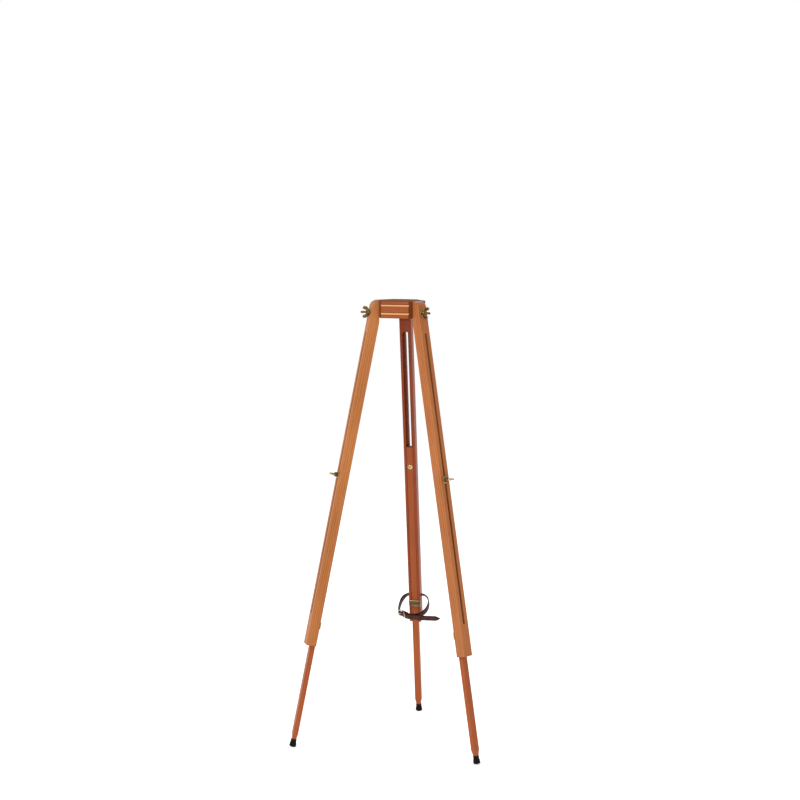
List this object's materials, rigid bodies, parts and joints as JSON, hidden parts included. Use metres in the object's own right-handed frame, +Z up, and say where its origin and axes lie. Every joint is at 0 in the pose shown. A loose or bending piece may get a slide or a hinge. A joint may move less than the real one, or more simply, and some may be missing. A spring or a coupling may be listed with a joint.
{
  "type": "tripod field easel",
  "caption": "Folding wooden tripod stand with a six-sided head, telescopic legs, brass wing nuts, rubber feet and a buckled leather strap.",
  "frame": {"origin": "on the floor, under the middle of the head, as the tripod stands with its legs spread", "axes": "+Z up; +Y towards the rear leg, which carries the strap; +X to the right as seen from the front"},
  "size_m": [0.4794, 0.4175, 1.105],
  "materials": {
    "beech_head": "oiled beech, reddish brown, satin",
    "beech_upper": "oiled beech, light orange brown, satin",
    "beech_lower": "oiled beech, reddish brown, satin",
    "antique_brass": "aged brass, softly worn",
    "steel": "plain turned steel",
    "rubber": "matt black rubber",
    "leather": "dark burgundy brown leather, worn sheen"
  },
  "bodies": {
    "head": {"head_block": "beech_head"},
    "rear_leg": {"upper_leg_rear": "beech_upper", "leg_plate_rear": "antique_brass", "plate_screws_rear": "antique_brass", "ball_nut_rear": "steel", "head_bolt_rear": "antique_brass", "strap": "leather", "strap_screw": "antique_brass", "buckle_frame": "antique_brass", "buckle_prong": "antique_brass"},
    "rear_extension": {"lower_leg_rear": "beech_lower", "rubber_foot_rear": "rubber", "clamp_bolt_rear": "antique_brass"},
    "rear_head_washer": {"head_washer_rear": "antique_brass"},
    "rear_head_nut": {"head_wing_nut_rear": "antique_brass"},
    "rear_clamp_washer": {"clamp_washer_rear": "antique_brass"},
    "rear_clamp_nut": {"clamp_wing_nut_rear": "antique_brass"},
    "left_leg": {"upper_leg_left": "beech_upper", "leg_plate_left": "antique_brass", "plate_screws_left": "antique_brass", "ball_nut_left": "steel", "head_bolt_left": "antique_brass"},
    "left_extension": {"lower_leg_left": "beech_lower", "rubber_foot_left": "rubber", "clamp_bolt_left": "antique_brass"},
    "left_head_washer": {"head_washer_left": "antique_brass"},
    "left_head_nut": {"head_wing_nut_left": "antique_brass"},
    "left_clamp_washer": {"clamp_washer_left": "antique_brass"},
    "left_clamp_nut": {"clamp_wing_nut_left": "antique_brass"},
    "right_leg": {"upper_leg_right": "beech_upper", "leg_plate_right": "antique_brass", "plate_screws_right": "antique_brass", "ball_nut_right": "steel", "head_bolt_right": "antique_brass"},
    "right_extension": {"lower_leg_right": "beech_lower", "rubber_foot_right": "rubber", "clamp_bolt_right": "antique_brass"},
    "right_head_washer": {"head_washer_right": "antique_brass"},
    "right_head_nut": {"head_wing_nut_right": "antique_brass"},
    "right_clamp_washer": {"clamp_washer_right": "antique_brass"},
    "right_clamp_nut": {"clamp_wing_nut_right": "antique_brass"}
  },
  "joints": [
    {"name": "rear_leg_fold", "type": "hinge", "parent": "head", "child": "rear_leg", "pos_m": [0, 0.025, 1.077], "axis": [-1, 0, 0], "range_deg": [0, 11]},
    {"name": "rear_leg_extend", "type": "slide", "parent": "rear_leg", "child": "rear_extension", "axis": [0, 0.1908, -0.9816], "range_m": [-0.239, 0.33]},
    {"name": "rear_head_washer_slide", "type": "slide", "parent": "rear_leg", "child": "rear_head_washer", "axis": [0, 1, 0], "range_m": [0, 0.003]},
    {"name": "rear_head_nut_turn", "type": "hinge", "parent": "rear_head_washer", "child": "rear_head_nut", "pos_m": [0, 0.08, 1.077], "axis": [0, 1, 0], "range_deg": [0, 1080.5]},
    {"name": "rear_clamp_washer_slide", "type": "slide", "parent": "rear_extension", "child": "rear_clamp_washer", "axis": [0, 0.9816, 0.1908], "range_m": [0, 0.003]},
    {"name": "rear_clamp_nut_turn", "type": "hinge", "parent": "rear_clamp_washer", "child": "rear_clamp_nut", "pos_m": [0, 0.1595, 0.67796], "axis": [0, 0.9816, 0.1908], "range_deg": [0, 1080.5]},
    {"name": "left_leg_fold", "type": "hinge", "parent": "head", "child": "left_leg", "pos_m": [-0.02165, -0.0125, 1.077], "axis": [0.5, -0.866, 0], "range_deg": [0, 11]},
    {"name": "left_leg_extend", "type": "slide", "parent": "left_leg", "child": "left_extension", "axis": [-0.1652, -0.0954, -0.9816], "range_m": [-0.239, 0.33]},
    {"name": "left_head_washer_slide", "type": "slide", "parent": "left_leg", "child": "left_head_washer", "axis": [-0.866, -0.5, 0], "range_m": [0, 0.003]},
    {"name": "left_head_nut_turn", "type": "hinge", "parent": "left_head_washer", "child": "left_head_nut", "pos_m": [-0.06928, -0.04, 1.077], "axis": [-0.866, -0.5, 0], "range_deg": [0, 1080.5]},
    {"name": "left_clamp_washer_slide", "type": "slide", "parent": "left_extension", "child": "left_clamp_washer", "axis": [-0.8501, -0.4908, 0.1908], "range_m": [0, 0.003]},
    {"name": "left_clamp_nut_turn", "type": "hinge", "parent": "left_clamp_washer", "child": "left_clamp_nut", "pos_m": [-0.13813, -0.07975, 0.67796], "axis": [-0.8501, -0.4908, 0.1908], "range_deg": [0, 1080.5]},
    {"name": "right_leg_fold", "type": "hinge", "parent": "head", "child": "right_leg", "pos_m": [0.02165, -0.0125, 1.077], "axis": [0.5, 0.866, 0], "range_deg": [0, 11]},
    {"name": "right_leg_extend", "type": "slide", "parent": "right_leg", "child": "right_extension", "axis": [0.1652, -0.0954, -0.9816], "range_m": [-0.239, 0.33]},
    {"name": "right_head_washer_slide", "type": "slide", "parent": "right_leg", "child": "right_head_washer", "axis": [0.866, -0.5, 0], "range_m": [0, 0.003]},
    {"name": "right_head_nut_turn", "type": "hinge", "parent": "right_head_washer", "child": "right_head_nut", "pos_m": [0.06928, -0.04, 1.077], "axis": [0.866, -0.5, 0], "range_deg": [0, 1080.5]},
    {"name": "right_clamp_washer_slide", "type": "slide", "parent": "right_extension", "child": "right_clamp_washer", "axis": [0.8501, -0.4908, 0.1908], "range_m": [0, 0.003]},
    {"name": "right_clamp_nut_turn", "type": "hinge", "parent": "right_clamp_washer", "child": "right_clamp_nut", "pos_m": [0.13813, -0.07975, 0.67796], "axis": [0.8501, -0.4908, 0.1908], "range_deg": [0, 1080.5]}
  ],
  "couplings": [
    {"joint": "rear_head_nut_turn", "follows": "rear_head_washer_slide", "rad_per_m": 6283.2},
    {"joint": "rear_clamp_nut_turn", "follows": "rear_clamp_washer_slide", "rad_per_m": 6283.2},
    {"joint": "left_head_nut_turn", "follows": "left_head_washer_slide", "rad_per_m": 6283.2},
    {"joint": "left_clamp_nut_turn", "follows": "left_clamp_washer_slide", "rad_per_m": 6283.2},
    {"joint": "right_head_nut_turn", "follows": "right_head_washer_slide", "rad_per_m": 6283.2},
    {"joint": "right_clamp_nut_turn", "follows": "right_clamp_washer_slide", "rad_per_m": 6283.2}
  ]
}
